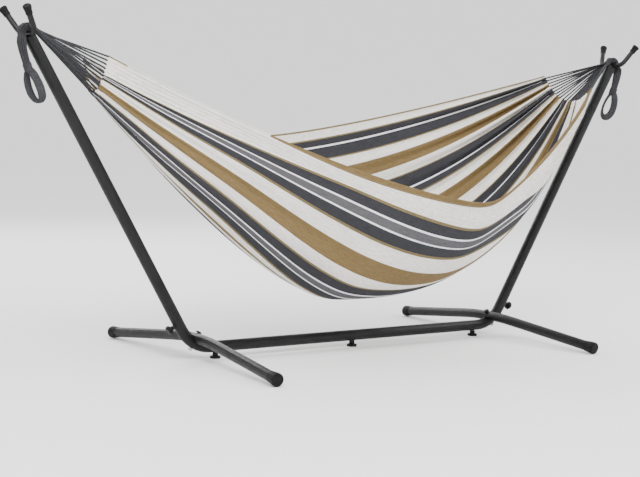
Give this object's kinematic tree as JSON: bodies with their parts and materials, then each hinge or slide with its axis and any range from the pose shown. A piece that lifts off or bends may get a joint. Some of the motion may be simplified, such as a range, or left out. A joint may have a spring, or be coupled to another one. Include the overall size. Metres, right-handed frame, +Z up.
{
  "type": "hammock on stand",
  "caption": "Striped cotton hammock hung by fans of cords between the forks of a dark steel stand with angled arms, a straight base and two cross feet.",
  "frame": {"origin": "on the floor, under the middle of the stand", "axes": "+X along the stand towards its right end, +Y across it to the back, +Z up"},
  "size_m": [2.8398, 1.1566, 1.2175],
  "materials": {
    "powder_coat": "dark charcoal powder coat, satin with a fine texture",
    "zinc_steel": "zinc plated, satin",
    "black_rubber": "matt moulded rubber",
    "black_plastic": "matt moulded plastic",
    "striped_cotton": "woven cotton with lengthwise stripes in cream, tan, dark grey, mid grey and white",
    "cord_grey": "braided charcoal grey cotton and polyester cord"
  },
  "bodies": {
    "stand": {"base_section_left": "powder_coat", "arm_left": "powder_coat", "foot_bar_left": "powder_coat", "fork_left": "powder_coat", "foot_bolt_left": "powder_coat", "knob_nut_left": "powder_coat", "base_section_right": "powder_coat", "arm_right": "powder_coat", "foot_bar_right": "powder_coat", "fork_right": "powder_coat", "foot_bolt_right": "powder_coat", "knob_nut_right": "powder_coat", "base_joint_sleeve": "zinc_steel", "arm_spigot_left": "zinc_steel", "foot_nut_left": "zinc_steel", "arm_spigot_right": "zinc_steel", "foot_nut_right": "zinc_steel", "pad_stud_left": "zinc_steel", "pad_stud_middle": "zinc_steel", "pad_stud_right": "zinc_steel", "foot_cap_left_front": "black_rubber", "prong_cap_left_front": "black_rubber", "foot_cap_left_back": "black_rubber", "prong_cap_left_back": "black_rubber", "foot_cap_right_front": "black_rubber", "prong_cap_right_front": "black_rubber", "foot_cap_right_back": "black_rubber", "prong_cap_right_back": "black_rubber", "pad_left": "black_rubber", "pad_middle": "black_rubber", "pad_right": "black_rubber", "saddle_turn_left": "cord_grey", "saddle_turn_right": "cord_grey"},
    "hammock": {"hammock_bed": "striped_cotton", "end_header_left": "cord_grey", "cord_neck_left": "cord_grey", "cord_fan_left": "cord_grey", "end_header_right": "cord_grey", "cord_neck_right": "cord_grey", "cord_fan_right": "cord_grey"},
    "knob_left": {"knob_head_left": "black_plastic", "knob_stud_left": "zinc_steel"},
    "tail_left": {"tail_bundle_left": "cord_grey", "tail_whipping_left": "cord_grey", "eye_loop_left": "cord_grey"},
    "knob_right": {"knob_head_right": "black_plastic", "knob_stud_right": "zinc_steel"},
    "tail_right": {"tail_bundle_right": "cord_grey", "tail_whipping_right": "cord_grey", "eye_loop_right": "cord_grey"}
  },
  "joints": [
    {"name": "hammock_swing", "type": "hinge", "parent": "stand", "child": "hammock", "pos_m": [0, 0, 1.15043], "axis": [1, 0, 0], "range_deg": [-30, 30]},
    {"name": "tail_swing_left", "type": "hinge", "parent": "stand", "child": "tail_left", "pos_m": [-1.38599, -0.012, 1.09353], "axis": [1, 0, 0], "range_deg": [-25, 25]},
    {"name": "knob_turn_left", "type": "hinge", "parent": "stand", "child": "knob_left", "pos_m": [-0.79054, 0, 0.12471], "axis": [-0.8607, 0, -0.509], "range_deg": [0, 1080]},
    {"name": "tail_swing_right", "type": "hinge", "parent": "stand", "child": "tail_right", "pos_m": [1.38599, -0.012, 1.09353], "axis": [1, 0, 0], "range_deg": [-25, 25]},
    {"name": "knob_turn_right", "type": "hinge", "parent": "stand", "child": "knob_right", "pos_m": [0.79054, 0, 0.12471], "axis": [0.8607, 0, -0.509], "range_deg": [0, 1080]}
  ]
}
